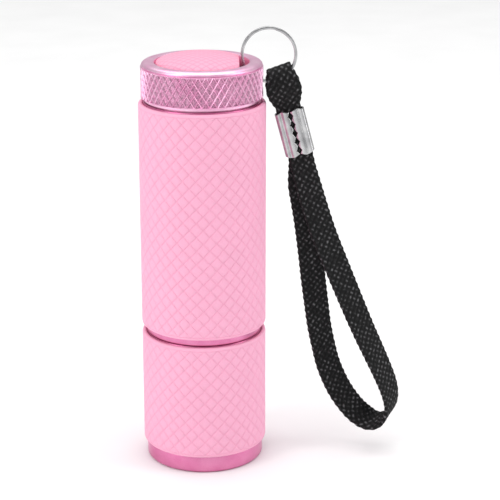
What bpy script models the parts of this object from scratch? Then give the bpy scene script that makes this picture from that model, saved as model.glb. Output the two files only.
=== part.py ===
"""UV curing lamp: a small rubber-gripped torch standing on its lens, with a wrist strap.

The lamp axis is +Z and the lens rim stands on z = 0. The strap hangs on the +X side.
Every length below is in millimetres; the builders turn them into metres.
"""
import math

import bpy
import bmesh
from mathutils import Matrix, Vector

MM = 0.001
SIDES = 40  # facets round the housings
FINE = 24  # facets round the small turned parts

# Shared diameters, as radii
GRIP_R = 13.5
GRIP_BORE = 12.6
METAL_R = 12.5
BEZEL_R = 12.77
THREAD_R = 11.7
THREAD_BORE = 11.9
TUBE_BORE = 11.05
RING_GROOVE_R = 10.95

# Heights of the joints between the sections
BEZEL_TOP = 3.7
HEAD_GRIP_Z = (3.8, 29.15)
HEAD_TOP = 29.1
BARREL_TIP = 19.3
SHOULDER_Z = 29.35
BARREL_GRIP_Z = (30.9, 79.9)
BARREL_TOP = 80.1
HEAD_SEAL_Z = (20.4, 21.5)
TAIL_SEAL_Z = (78.2, 79.3)

# Lamp unit behind the lens
LENS = (11.3, 1.75, 3.5)  # radius, bottom, top
GASKET = (10.45, 11.3, 3.6, 4.45)
LED_COUNT = 8
LED_PITCH_R = 7.3
LED_R = 2.45
LED_HOLE_R = 2.62
LED_TIP_Z = 4.9
LED_BASE_Z = 13.1
BOARD = (11.2, 13.3, 14.5)
RETAINER = (9.2, 11.25, 14.75, 16.9)

# Battery cartridge: three AAA cells side by side
CELL_R = 5.0
CELL_LENGTH = 44.5
CELL_PITCH_R = 5.86
CELL_Z = 26.9
CELL_ANGLES = (90.0, 210.0, 330.0)
CARTRIDGE_R = 10.9
FRONT_DISC = (23.6, 25.9)
REAR_DISC = (71.9, 74.1)

# Tail cap with its push button
SKIRT_Z = 70.6
KNURL_Z = (81.5, 87.35)
KNURL_ROWS = 6
KNURL_R = (12.55, 12.9)
CAP_TOP = 88.5
RECESS_R = 9.95
RECESS_FLOOR = 84.2
SWITCH_BORE = 10.2
SWITCH_ROOF = 83.0
BOOT_R = 9.7
BOOT_FLAT_X = 7.75
BOOT_SKIRT_Z = 86.3
BUTTON_TOP = 90.1

# Split ring through the slanted hole in the cap's rim
LANYARD_HOLE_R = 1.35
LANYARD_HOLE = ((8.0, 87.6), (14.2, 82.6))  # x, z of the two ends of the drill
RING_CENTRE = (14.05, 89.7)
RING_R = 5.62
RING_SECTION = (0.62, 0.45)  # radial, across
RING_STEP = 0.47

# Wrist strap: flat braid, crimped in a rolled steel ferrule
STRAP_WIDTH = 5.7
STRAP_CRIMPED = 5.4
STRAP_THICK = 0.9
LAYER_Y = 0.56
FERRULE_TOP = (18.35, 77.6)
FERRULE_END = (20.75, 68.55)
FERRULE_TEETH = 5


# ---------------------------------------------------------------- scene helpers
def clear_scene():
    for obj in list(bpy.data.objects):
        bpy.data.objects.remove(obj, do_unlink=True)
    for mesh in list(bpy.data.meshes):
        bpy.data.meshes.remove(mesh)
    for mat in list(bpy.data.materials):
        bpy.data.materials.remove(mat)


def material(name, colour, rough, metal=0.0, clear=0.0):
    mat = bpy.data.materials.new(name + "_mat")
    mat.use_nodes = True
    shader = next(n for n in mat.node_tree.nodes if n.type == "BSDF_PRINCIPLED")
    shader.inputs["Base Color"].default_value = (*colour, 1.0)
    shader.inputs["Roughness"].default_value = rough
    shader.inputs["Metallic"].default_value = metal
    shader.inputs["Transmission Weight"].default_value = clear
    mat.diffuse_color = (*colour, 1.0)
    return mat


def finish(name, bm, look, origin=(0.0, 0.0, 0.0)):
    """Turn a bmesh in millimetres into an object whose origin is at the given point."""
    bmesh.ops.recalc_face_normals(bm, faces=bm.faces)
    shift = Matrix.Translation(-Vector(origin))
    bmesh.ops.transform(bm, matrix=Matrix.Scale(MM, 4) @ shift, verts=bm.verts)
    mesh = bpy.data.meshes.new(name)
    bm.to_mesh(mesh)
    bm.free()
    obj = bpy.data.objects.new(name, mesh)
    bpy.context.scene.collection.objects.link(obj)
    obj.location = Vector(origin) * MM
    if look:
        mesh.materials.append(material(name, *look))
    return obj


def combine(obj, tool, operation):
    """Join or cut with a hidden tool object."""
    tool.hide_render = True
    tool.display_type = "WIRE"
    mod = obj.modifiers.new(operation.lower(), "BOOLEAN")
    mod.operation = operation
    mod.solver = "EXACT"
    mod.object = tool


# ---------------------------------------------------------------- shape helpers
def ring_of(bm, radius, z, sides, centre=(0.0, 0.0), turn=0.0):
    if radius == 0.0:
        return [bm.verts.new((centre[0], centre[1], z))]
    step = 2.0 * math.pi / sides
    return [
        bm.verts.new(
            (
                centre[0] + radius * math.cos(turn + step * i),
                centre[1] + radius * math.sin(turn + step * i),
                z,
            )
        )
        for i in range(sides)
    ]


def bridge(bm, low, high):
    """Faces between two rings of equal length, or between a ring and a point."""
    count = max(len(low), len(high))
    for i in range(count):
        j = (i + 1) % count
        if len(low) == 1:
            bm.faces.new((low[0], high[j], high[i]))
        elif len(high) == 1:
            bm.faces.new((low[i], low[j], high[0]))
        else:
            bm.faces.new((low[i], low[j], high[j], high[i]))


def lathe(profile, sides=SIDES, centre=(0.0, 0.0), closed=False, bm=None):
    """Spin (radius, z) points about the vertical through centre."""
    bm = bm or bmesh.new()
    rings = [ring_of(bm, r, z, sides, centre) for r, z in profile]
    pairs = list(zip(rings, rings[1:]))
    if closed:
        pairs.append((rings[-1], rings[0]))
    for low, high in pairs:
        bridge(bm, low, high)
    return bm


def washer(inner, outer, low, high, sides=SIDES):
    return lathe([(inner, low), (outer, low), (outer, high), (inner, high)], sides, closed=True)


def sleeve(inner, outer, low, high):
    """Rubber tube with softened ends."""
    return lathe(
        [
            (inner, low),
            (outer - 0.45, low),
            (outer - 0.12, low + 0.2),
            (outer, low + 0.65),
            (outer, high - 0.65),
            (outer - 0.12, high - 0.2),
            (outer - 0.45, high),
            (inner, high),
        ],
        closed=True,
    )


def box(size, centre, turn=0.0):
    bm = bmesh.new()
    bmesh.ops.create_cube(bm, size=1.0)
    move = Matrix.Rotation(turn, 4, "Z") @ Matrix.Translation(centre) @ Matrix.Diagonal((*size, 1.0))
    bmesh.ops.transform(bm, matrix=move, verts=bm.verts)
    return bm


def sweep(stations, bm=None):
    """Skin a list of equal cross-sections and cap both ends."""
    bm = bm or bmesh.new()
    loops = [[bm.verts.new(p) for p in station] for station in stations]
    for low, high in zip(loops, loops[1:]):
        bridge(bm, low, high)
    bm.faces.new(loops[0])
    bm.faces.new(list(reversed(loops[-1])))
    return bm


def coil(radius_low, radius_high, z_low, z_high, turns, wire, per_turn=10):
    """A round-wire spring; the wire's own centre runs from z_low to z_high."""
    steps = int(turns * per_turn)
    stations = []
    for k in range(steps + 1):
        t = k / steps
        angle = 2.0 * math.pi * turns * t
        ease = min(1.0, max(0.0, (t * turns - 0.5) / (turns - 1.0)))
        radius = radius_low + (radius_high - radius_low) * t
        height = z_low + (z_high - z_low) * ease
        out = Vector((math.cos(angle), math.sin(angle), 0.0))
        corners = []
        for c in range(5):
            a = 2.0 * math.pi * c / 5
            corners.append(out * (radius + wire * math.cos(a)) + Vector((0, 0, height + wire * math.sin(a))))
        stations.append(corners)
    return sweep(stations)


def polar(radius, degrees):
    return (radius * math.cos(math.radians(degrees)), radius * math.sin(math.radians(degrees)))


# ---------------------------------------------------------------- head
def build_head():
    pink = (0.80, 0.26, 0.47)
    finish(
        "head_housing",
        lathe(
            [
                (10.8, 0.0), (12.35, 0.0), (BEZEL_R, 0.45), (BEZEL_R, BEZEL_TOP),
                (METAL_R, BEZEL_TOP), (METAL_R, HEAD_TOP), (THREAD_BORE, HEAD_TOP),
                (THREAD_BORE, 17.6), (11.45, 17.3), (11.45, 1.6), (10.3, 1.6), (10.3, 0.5),
            ],
            closed=True,
        ),
        (pink, 0.32, 0.9),
    )
    finish("head_grip", sleeve(GRIP_BORE, GRIP_R, *HEAD_GRIP_Z), ((1.0, 0.52, 0.69), 0.75))
    radius, low, high = LENS
    lens = lathe([(0, low), (radius, low), (radius, high), (0, high)])
    finish("lens", lens, ((0.95, 0.96, 1.0), 0.03, 0.0, 0.95))
    finish("lens_gasket", washer(*GASKET, sides=SIDES), ((0.03, 0.03, 0.03), 0.7))
    build_leds()
    radius, low, high = BOARD
    board = lathe([(0, low), (radius, low), (radius, high), (0, high)])
    finish("led_board", board, ((0.10, 0.32, 0.16), 0.5))
    finish("led_retainer", washer(*RETAINER), ((0.62, 0.63, 0.66), 0.35, 0.95))
    finish("head_spring", coil(4.8, 2.0, 14.95, 22.45, 5.0, 0.3), ((0.72, 0.70, 0.66), 0.25, 1.0))


def led_places():
    places = [(0.0, 0.0)]
    places += [polar(LED_PITCH_R, 360.0 * i / LED_COUNT) for i in range(LED_COUNT)]
    return places


def build_leds():
    reflector = finish(
        "led_reflector",
        lathe(
            [
                (0, 9.3), (9.95, 9.3), (10.45, 4.6), (11.3, 4.6),
                (11.3, 12.9), (10.5, 12.9), (10.5, 10.5), (0, 10.5),
            ]
        ),
        ((0.86, 0.87, 0.90), 0.12, 1.0),
    )
    holes = bmesh.new()
    for place in led_places():
        lathe([(0, 8.0), (LED_HOLE_R, 8.0), (LED_HOLE_R, 11.8), (0, 11.8)], 12, place, bm=holes)
    combine(reflector, finish("led_holes_tool", holes, None), "DIFFERENCE")
    profile = [
        (0, LED_TIP_Z), (1.35, LED_TIP_Z + 0.4), (2.2, LED_TIP_Z + 1.3), (LED_R, LED_TIP_Z + 2.4),
        (LED_R, 12.1), (2.68, 12.1), (2.68, LED_BASE_Z), (0, LED_BASE_Z),
    ]
    for i, place in enumerate(led_places()):
        finish(
            f"uv_led_{i + 1}",
            lathe(profile, 10, place),
            ((0.62, 0.55, 0.95), 0.08, 0.0, 0.7),
            (*place, LED_BASE_Z),
        )


# ---------------------------------------------------------------- barrel
def build_barrel():
    finish(
        "barrel_tube",
        lathe(
            [
                (10.3, BARREL_TIP), (11.4, BARREL_TIP), (THREAD_R, BARREL_TIP + 0.35),
                (THREAD_R, HEAD_SEAL_Z[0]), (RING_GROOVE_R, HEAD_SEAL_Z[0]),
                (RING_GROOVE_R, HEAD_SEAL_Z[1]), (THREAD_R, HEAD_SEAL_Z[1]),
                (THREAD_R, SHOULDER_Z), (METAL_R, SHOULDER_Z), (METAL_R, BARREL_TOP),
                (THREAD_BORE, BARREL_TOP), (THREAD_BORE, 69.9), (TUBE_BORE, 69.4),
                (TUBE_BORE, 23.3), (10.3, 23.3),
            ],
            closed=True,
        ),
        ((0.78, 0.25, 0.45), 0.32, 0.9),
    )
    finish("barrel_grip", sleeve(GRIP_BORE, GRIP_R, *BARREL_GRIP_Z), ((1.0, 0.52, 0.69), 0.75))
    for name, (low, high) in (("head_oring", HEAD_SEAL_Z), ("tail_oring", TAIL_SEAL_Z)):
        seal = lathe(
            [
                (11.06, low + 0.35), (11.42, low + 0.12), (11.79, low + 0.35),
                (11.79, high - 0.35), (11.42, high - 0.12), (11.06, high - 0.35),
            ],
            closed=True,
        )
        finish(name, seal, ((0.02, 0.02, 0.02), 0.5), (0, 0, (low + high) / 2))


# ---------------------------------------------------------------- cartridge
def build_cartridge():
    holder = finish(
        "battery_holder",
        lathe([(1.15, FRONT_DISC[0]), (CARTRIDGE_R, FRONT_DISC[0]),
               (CARTRIDGE_R, FRONT_DISC[1]), (1.15, FRONT_DISC[1])], closed=True),
        ((0.03, 0.03, 0.035), 0.45),
    )
    rear = washer(1.15, CARTRIDGE_R, *REAR_DISC)
    combine(holder, finish("rear_disc_tool", rear, None), "UNION")
    for i, angle in enumerate(CELL_ANGLES):
        length = REAR_DISC[1] - FRONT_DISC[0] - 1.0
        middle = (REAR_DISC[1] + FRONT_DISC[0]) / 2
        rib = box((2.6, 4.8, length), (9.05, 0, middle), math.radians(angle + 60.0))
        combine(holder, finish(f"rib_tool_{i}", rib, None), "UNION")
    for i, angle in enumerate(CELL_ANGLES):
        build_cell(f"battery_{i + 1}", polar(CELL_PITCH_R, angle), i != 1)
    brass = ((0.78, 0.62, 0.30), 0.3, 1.0)
    front = lathe(
        [(0, 22.9), (2.1, 22.9), (2.1, 23.45), (0.95, 23.45), (0.95, 26.1), (1.3, 26.1), (1.3, 26.4), (0, 26.4)],
        12,
    )
    rear = lathe(
        [(0, 71.5), (1.3, 71.5), (1.3, 71.8), (0.95, 71.8), (0.95, 74.2), (3.9, 74.2), (3.9, 74.5), (0, 74.5)],
        12,
    )
    for end, rivet, z, turn in (("front", front, 26.25, 0.0), ("rear", rear, 71.65, 240.0)):
        terminal = finish(f"{end}_terminal", rivet, brass)
        tongue = box((2.2, 7.2, 0.22), (0, 3.7, z), math.radians(turn))
        combine(terminal, finish(f"{end}_tongue_tool", tongue, None), "UNION")
        link = box((13.4, 2.8, 0.3), (0, -3.2, z), math.radians(turn))
        finish(f"{end}_link", link, brass)


def build_cell(name, place, cap_down):
    """An AAA cell with its raised positive cap at one end."""
    low, high = CELL_Z, CELL_Z + CELL_LENGTH
    profile = [
        (0, low), (1.9, low), (1.9, low + 0.9), (4.6, low + 0.9), (CELL_R, low + 1.3),
        (CELL_R, high - 0.4), (4.6, high), (0, high),
    ]
    if not cap_down:
        profile = [(r, low + high - z) for r, z in profile]
    finish(name, lathe(profile, 18, place), ((0.12, 0.20, 0.42), 0.3, 0.6), (*place, (low + high) / 2))


# ---------------------------------------------------------------- tail cap and button
def knurled(bm, low_ring, rows):
    """Rows of points alternately on the crest and in the groove, so the faces make diamonds."""
    last = low_ring
    for row in range(rows + 1):
        z = KNURL_Z[0] + (KNURL_Z[1] - KNURL_Z[0]) * row / rows
        ring = []
        for i in range(SIDES):
            radius = KNURL_R[(i + row) % 2]
            angle = 2.0 * math.pi * i / SIDES
            ring.append(bm.verts.new((radius * math.cos(angle), radius * math.sin(angle), z)))
        for i in range(SIDES):
            j = (i + 1) % SIDES
            if (i + row) % 2:
                bm.faces.new((last[i], last[j], ring[i]))
                bm.faces.new((last[j], ring[j], ring[i]))
            else:
                bm.faces.new((last[i], last[j], ring[j]))
                bm.faces.new((last[i], ring[j], ring[i]))
        last = ring
    return last


def build_tail_cap():
    below = [
        (11.15, SKIRT_Z), (11.5, SKIRT_Z), (THREAD_R, SKIRT_Z + 0.3), (THREAD_R, TAIL_SEAL_Z[0]),
        (RING_GROOVE_R, TAIL_SEAL_Z[0]), (RING_GROOVE_R, TAIL_SEAL_Z[1]),
        (THREAD_R, TAIL_SEAL_Z[1]), (THREAD_R, 80.35), (12.25, 80.35), (12.25, 81.3), (12.55, 81.35),
    ]
    above = [
        (12.5, 87.5), (12.72, 87.75), (12.35, 88.3), (11.8, CAP_TOP), (10.25, CAP_TOP),
        (RECESS_R, CAP_TOP - 0.3), (RECESS_R, RECESS_FLOOR), (3.8, RECESS_FLOOR),
        (3.8, SWITCH_ROOF), (SWITCH_BORE, SWITCH_ROOF), (SWITCH_BORE, 75.1), (11.15, 74.8),
    ]
    bm = bmesh.new()
    rings = [ring_of(bm, r, z, SIDES) for r, z in below]
    for low, high in zip(rings, rings[1:]):
        bridge(bm, low, high)
    top = [knurled(bm, rings[-1], KNURL_ROWS)] + [ring_of(bm, r, z, SIDES) for r, z in above]
    for low, high in zip(top, top[1:]):
        bridge(bm, low, high)
    bridge(bm, top[-1], rings[0])
    cap = finish("tail_cap", bm, ((0.78, 0.27, 0.47), 0.3, 0.9))
    combine(cap, finish("lanyard_hole_tool", slanted_drill(), None), "DIFFERENCE")

    board = lathe([(0, 76.7), (9.9, 76.7), (9.9, 77.6), (0, 77.6)], FINE)
    finish("switch_board", board, ((0.10, 0.32, 0.16), 0.5))
    body = lathe(
        [(0, 77.8), (8.6, 77.8), (8.6, 82.2), (8.2, 82.6), (3.4, 82.6), (3.4, 79.3), (0, 79.3)], FINE
    )
    finish("switch_housing", body, ((0.05, 0.05, 0.055), 0.5))
    finish("switch_retainer", washer(8.0, 10.05, 75.4, 76.5, FINE), ((0.62, 0.63, 0.66), 0.35, 0.95))
    finish("tail_spring", coil(2.6, 4.0, 74.85, 76.3, 2.6, 0.24), ((0.72, 0.70, 0.66), 0.25, 1.0))


def slanted_drill():
    (x0, z0), (x1, z1) = LANYARD_HOLE
    start, end = Vector((x0, 0, z0)), Vector((x1, 0, z1))
    bm = bmesh.new()
    bmesh.ops.create_cone(
        bm, segments=16, radius1=LANYARD_HOLE_R, radius2=LANYARD_HOLE_R,
        depth=(end - start).length, cap_ends=True,
    )
    turn = (end - start).to_track_quat("Z", "Y").to_matrix().to_4x4()
    bmesh.ops.transform(bm, matrix=Matrix.Translation((start + end) / 2) @ turn, verts=bm.verts)
    return bm


def build_button():
    boot = finish(
        "button_boot",
        lathe(
            [
                (0, 89.3), (4.6, 88.95), (6.9, 88.3), (6.9, BOOT_SKIRT_Z), (BOOT_R, BOOT_SKIRT_Z),
                (BOOT_R, 88.1), (9.3, 88.6), (8.2, 89.07), (6.0, 89.62), (3.2, 89.98), (0, BUTTON_TOP),
            ],
            32,
        ),
        ((0.95, 0.47, 0.62), 0.7),
        (0, 0, BOOT_SKIRT_Z),
    )
    side = finish("boot_flat_tool", box((6, 24, 12), (BOOT_FLAT_X + 3.0, 0, 88.5)), None)
    combine(boot, side, "DIFFERENCE")
    plunger = lathe(
        [(0, 81.2), (2.8, 81.2), (2.8, 87.4), (6.3, 87.4), (6.3, 88.2), (3.0, 88.8), (0, 88.9)], FINE
    )
    finish("button_plunger", plunger, ((0.85, 0.85, 0.83), 0.5), (0, 0, 84.0))
    finish("return_spring", coil(4.9, 4.9, 84.6, 87.0, 2.8, 0.28), ((0.72, 0.70, 0.66), 0.25, 1.0))


# ---------------------------------------------------------------- split ring
def build_ring():
    """A flat wire wound almost twice round, like a small key ring."""
    half_r, half_y = RING_SECTION[0] / 2, RING_SECTION[1] / 2
    sweep_angle = math.radians(706.0)
    steps = 52
    rise = RING_STEP * sweep_angle / (2.0 * math.pi)
    stations = []
    for k in range(steps + 1):
        t = k / steps
        angle = math.radians(75.0) + sweep_angle * t
        y = rise * (t - 0.5)
        out = Vector((math.cos(angle), 0.0, math.sin(angle)))
        centre = Vector((RING_CENTRE[0], y, RING_CENTRE[1])) + out * RING_R
        stations.append(
            [
                centre + out * (half_r * a) + Vector((0, half_y * b, 0))
                for a, b in ((-1, -0.5), (-0.6, -1), (0.6, -1), (1, -0.5), (1, 0.5), (0.6, 1), (-0.6, 1), (-1, 0.5))
            ]
        )
    (x0, z0), (x1, z1) = LANYARD_HOLE
    pivot = ((x0 + x1) / 2, 0.0, (z0 + z1) / 2)
    finish("split_ring", sweep(stations), ((0.78, 0.79, 0.80), 0.18, 1.0), pivot)


# ---------------------------------------------------------------- strap
def ferrule_axis():
    start, end = Vector((FERRULE_TOP[0], 0, FERRULE_TOP[1])), Vector((FERRULE_END[0], 0, FERRULE_END[1]))
    return start, end, (end - start).normalized()


# Wrist loop, from the front of the ferrule round and back: x, y, z, turn of the outer face.
# At 0 degrees the outer face looks along -Y, at 90 outwards from the loop, at 180 along +Y.
WRIST_LOOP = [
    (21.6, -0.72, 65.0, 0), (23.0, -1.1, 60.1, 3), (24.7, -1.6, 54.6, 8), (26.3, -2.0, 50.0, 12),
    (29.3, -2.4, 42.5, 18), (32.2, -2.5, 35.4, 24), (34.9, -2.5, 29.0, 30), (37.2, -2.4, 23.9, 35),
    (39.1, -2.1, 19.6, 40), (40.5, -1.8, 16.1, 44), (41.3, -1.5, 13.2, 50), (41.5, -1.2, 10.7, 58),
    (41.0, -0.8, 8.5, 70), (39.8, -0.2, 6.9, 88), (38.3, 0.4, 6.2, 112), (36.3, 0.9, 6.7, 142),
    (34.1, 1.2, 8.3, 160), (31.8, 1.5, 11.0, 166), (29.6, 1.8, 14.6, 164), (27.6, 1.9, 19.4, 160),
    (26.3, 2.0, 24.5, 158), (25.4, 2.0, 29.0, 160), (24.8, 2.0, 33.4, 163), (24.0, 1.9, 39.6, 167),
    (23.3, 1.7, 45.9, 170), (22.4, 1.4, 52.8, 173), (21.6, 1.15, 57.7, 176), (21.0, 0.9, 61.4, 178),
    (21.0, 0.68, 65.4, 180),
]
# Loop round the split ring: distance back along the strap from the ferrule, y, and extra lean
RING_LOOP = [(1.9, 0.64, 0), (3.4, 1.2, 1), (5.4, 1.95, 3), (7.6, 2.2, 5), (9.3, 1.4, 7), (9.9, 0.0, 7)]


def strap_controls():
    """Points with the direction of the strap's width, from one crimped end to the other."""
    top, end, along = ferrule_axis()
    wide = Vector((along.z, 0, -along.x))
    points = [(top + along * s + Vector((0, LAYER_Y, 0)), wide) for s in (4.5, 2.5, -0.3)]
    over = [(s, y, lean) for s, y, lean in RING_LOOP]
    over += [(s, -y, lean) for s, y, lean in reversed(RING_LOOP[:-1])]
    for s, y, lean in over:
        tilt = Matrix.Rotation(math.radians(-lean), 3, "Y")
        points.append((top - along * s + Vector((0, y, 0)), tilt @ wide))
    length = (end - top).length
    for s in (-0.3, 2.5, length / 2, length - 2.5, length + 0.5):
        points.append((top + along * s - Vector((0, LAYER_Y, 0)), wide))
    places = [Vector(p[:3]) for p in WRIST_LOOP]
    for i, (place, row) in enumerate(zip(places, WRIST_LOOP)):
        before = places[i - 1] if i else points[-1][0]
        after = places[i + 1] if i + 1 < len(places) else end + Vector((0, LAYER_Y, 0))
        heading = (after - before).normalized()
        outward = Vector((-heading.z, 0, heading.x)).normalized()
        turn = math.radians(row[3])
        face = Vector((0, -1, 0)) * math.cos(turn) + outward * math.sin(turn)
        points.append((place, heading.cross(face).normalized()))
    for s in (length + 0.5, length - 2.2, 4.9):
        points.append((top + along * s + Vector((0, LAYER_Y, 0)), wide))
    return points


def catmull(a, b, c, d, t):
    return (
        b * 2 + (c - a) * t + (a * 2 - b * 5 + c * 4 - d) * t * t + (b * 3 - a - c * 3 + d) * t * t * t
    ) * 0.5


def strap_stations(spacing):
    """Resample the control points at an even spacing, giving place, heading and width."""
    points = strap_controls()
    fine = []
    for i in range(len(points) - 1):
        four = [points[max(0, min(len(points) - 1, i + k))] for k in (-1, 0, 1, 2)]
        for k in range(12):
            t = k / 12
            place = catmull(*(p[0] for p in four), t)
            fine.append((place, four[1][1].lerp(four[2][1], t)))
    fine.append(points[-1])
    runs = [0.0]
    for a, b in zip(fine, fine[1:]):
        runs.append(runs[-1] + (b[0] - a[0]).length)
    count = round(runs[-1] / spacing)
    out, j = [], 0
    for k in range(count + 1):
        want = runs[-1] * k / count
        while j < len(runs) - 2 and runs[j + 1] < want:
            j += 1
        t = (want - runs[j]) / max(1e-9, runs[j + 1] - runs[j])
        out.append((fine[j][0].lerp(fine[j + 1][0], t), fine[j][1].lerp(fine[j + 1][1], t), want))
    return out, runs[-1]


def build_strap():
    stations, total = strap_stations(2.9)
    top, end, along = ferrule_axis()
    loops = []
    for i, (place, wide, run) in enumerate(stations):
        before = stations[max(0, i - 1)][0]
        after = stations[min(len(stations) - 1, i + 1)][0]
        heading = (after - before).normalized()
        wide = (wide - heading * wide.dot(heading)).normalized()
        face = wide.cross(heading)
        s = (place - top).dot(along)
        free = min(1.0, max(0.0, (s - 11.5) / 6.0))
        half_w = (STRAP_CRIMPED + (STRAP_WIDTH - STRAP_CRIMPED) * free) / 2
        half_t = STRAP_THICK / 2
        loops.append(
            [
                place + wide * (half_w * a) + face * (half_t * b)
                for a, b in ((-1, 0), (-0.9, -1), (0.9, -1), (1, 0), (0.9, 1), (-0.9, 1))
            ]
        )
    finish("strap", sweep(loops), ((0.012, 0.012, 0.013), 0.85), tuple(ring_pin()))


def ring_pin():
    """Where the strap's loop hangs on the ring's wire."""
    angle = math.radians(293.0)
    return Vector((RING_CENTRE[0] + RING_R * math.cos(angle), 0, RING_CENTRE[1] + RING_R * math.sin(angle)))


def build_ferrule():
    """Sheet rolled round both layers of strap, its toothed edges meeting down the front."""
    top, end, along = ferrule_axis()
    wide = Vector((-along.z, 0, along.x))
    outer = [
        (1.0, -1.58), (2.3, -1.52), (3.0, -1.1), (3.16, -0.3), (3.12, 0.8), (2.75, 1.4), (1.6, 1.5),
    ]
    inner = [
        (1.6, 1.16), (2.55, 1.14), (2.87, 0.7), (2.87, -0.4), (2.76, -0.92), (2.5, -1.15), (1.0, -1.18),
    ]
    stations = []
    count = FERRULE_TEETH * 2
    for k in range(count + 1):
        place = top + (end - top) * (k / count)
        gap = 0.42 if k % 2 else 0.07
        half = [(gap, -1.36)] + outer
        back = inner + [(gap, -1.12)]
        stations.append([place + wide * u + Vector((0, v, 0)) for u, v in c_section(half, back)])
    finish("strap_ferrule", sweep(stations), ((0.74, 0.75, 0.77), 0.22, 1.0), tuple(ring_pin()))


def c_section(half, back):
    """Outline of the rolled sheet: outside from seam to seam, then inside back again."""
    outside = half + [(-u, v) for u, v in reversed(half)]
    inside = [(-u, v) for u, v in reversed(back)] + back
    return outside + inside


clear_scene()
build_head()
build_barrel()
build_cartridge()
build_tail_cap()
build_button()
build_ring()
build_strap()
build_ferrule()
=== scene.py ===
# %% [markdown]
# # A pocket UV curing lamp
# A curing lamp hardens resin and gel with ultraviolet light. This one is a small torch: a lamp
# head with nine LEDs, a barrel that holds three cells, a screwed tail cap with a push button,
# and a wrist strap on a split ring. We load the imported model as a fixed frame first, because
# every piece that follows takes its place from it.

# %% Load the frame
import math

import bmesh
import bpy
from mathutils import Matrix, Vector


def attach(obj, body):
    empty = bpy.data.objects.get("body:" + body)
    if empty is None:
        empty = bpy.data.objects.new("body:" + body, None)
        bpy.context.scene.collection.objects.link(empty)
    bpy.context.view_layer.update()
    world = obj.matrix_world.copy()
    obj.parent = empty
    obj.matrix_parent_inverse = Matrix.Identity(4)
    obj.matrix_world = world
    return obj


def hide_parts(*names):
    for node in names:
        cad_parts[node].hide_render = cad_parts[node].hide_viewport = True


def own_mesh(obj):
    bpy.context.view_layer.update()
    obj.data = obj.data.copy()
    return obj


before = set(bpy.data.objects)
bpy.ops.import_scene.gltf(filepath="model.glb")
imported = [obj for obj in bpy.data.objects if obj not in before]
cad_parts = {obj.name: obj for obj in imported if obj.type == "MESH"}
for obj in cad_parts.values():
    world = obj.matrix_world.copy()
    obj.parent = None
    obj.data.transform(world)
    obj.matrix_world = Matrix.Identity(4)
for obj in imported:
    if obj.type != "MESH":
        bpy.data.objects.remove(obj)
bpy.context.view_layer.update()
MM = 0.001

# %% [markdown]
# ## Camera
# A long lens a third of a metre away, looking a little down on the lamp, keeps its sides almost
# parallel. We make the camera before the strap.

# %% Camera
LOOK_DOWN, LOOK_ASIDE = math.radians(17.94), math.radians(1.66)
camera_data = bpy.data.cameras.new("lamp_camera")
camera_data.lens = 121.7
camera_data.clip_start = 0.01
camera = bpy.data.objects.new("lamp_camera", camera_data)
camera.location = (0.0, -0.3482, 0.1596)
camera.rotation_euler = (math.pi / 2 - LOOK_DOWN, 0.0, -LOOK_ASIDE)
bpy.context.scene.collection.objects.link(camera)
bpy.context.scene.camera = camera
print("camera at", tuple(round(c, 3) for c in camera.location))

# %% [markdown]
# ## Edit-mode helpers
# Most of the lamp was cut on a lathe. By hand we would add a circle and extrude it again and
# again, resizing each new ring to the next radius, until the outline is complete. These helpers
# do exactly that, so each turned piece is only a list of radii and heights in millimetres.

# %% Start a piece and walk along its outline
def object_mode():
    if bpy.context.mode != "OBJECT":
        bpy.ops.object.mode_set(mode="OBJECT")
    bpy.ops.object.select_all(action="DESELECT")


def take(piece):
    """Select one piece and make it the active one."""
    object_mode()
    piece.select_set(True)
    bpy.context.view_layer.objects.active = piece


def start_ring(name, radius, height, sides):
    """A bare circle in edit mode, all of it selected."""
    object_mode()
    bpy.ops.mesh.primitive_circle_add(
        vertices=sides, radius=radius * MM, location=(0, 0, height * MM)
    )
    piece = bpy.context.object
    piece.name = piece.data.name = name
    bpy.ops.object.transform_apply(location=True, rotation=True, scale=True)
    bpy.ops.object.mode_set(mode="EDIT")
    bpy.ops.mesh.select_mode(type="EDGE")
    bpy.ops.mesh.select_all(action="SELECT")
    return piece


def next_ring(before, after):
    """Extrude the selected ring from one (radius, height) to the next."""
    rise = (after[1] - before[1]) * MM
    bpy.ops.mesh.extrude_edges_move(TRANSFORM_OT_translate={"value": (0, 0, rise)})
    grow = after[0] / before[0]
    if abs(grow - 1.0) > 1e-9:
        bpy.ops.transform.resize(value=(grow, grow, 1), center_override=(0, 0, 0))


def open_edges(piece, height=None):
    """Select the open edges, or only those at one height in millimetres."""
    bpy.ops.mesh.select_all(action="DESELECT")
    bm = bmesh.from_edit_mesh(piece.data)
    for edge in bm.edges:
        level = (edge.verts[0].co.z + edge.verts[1].co.z) / 2 / MM
        if edge.is_boundary and (height is None or abs(level - height) < 0.02):
            edge.select_set(True)
    bmesh.update_edit_mesh(piece.data)


def close_ends(piece, tube):
    """Join the two open rings of a tube, or close each ring of a solid with a fan."""
    if tube:
        open_edges(piece)
        bpy.ops.mesh.bridge_edge_loops()
        return
    bm = bmesh.from_edit_mesh(piece.data)
    heights = sorted({round(v.co.z / MM, 3) for v in bm.verts if v.is_boundary})
    for height in heights:
        open_edges(piece, height)
        bpy.ops.mesh.edge_face_add()
        bpy.ops.mesh.poke()


def face_outwards():
    bpy.ops.mesh.select_all(action="SELECT")
    bpy.ops.mesh.remove_doubles(threshold=1e-7)
    bpy.ops.mesh.normals_make_consistent(inside=False)
    bpy.ops.object.mode_set(mode="OBJECT")


def cut_off(place, facing, fill=False):
    """Cut the active piece with a plane, clear what lies beyond, and fill the cut if asked."""
    bpy.ops.object.mode_set(mode="EDIT")
    bpy.ops.mesh.select_all(action="SELECT")
    bpy.ops.mesh.bisect(
        plane_co=Vector(place) * MM, plane_no=facing, clear_outer=True, use_fill=fill,
        threshold=1e-7,
    )


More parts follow.
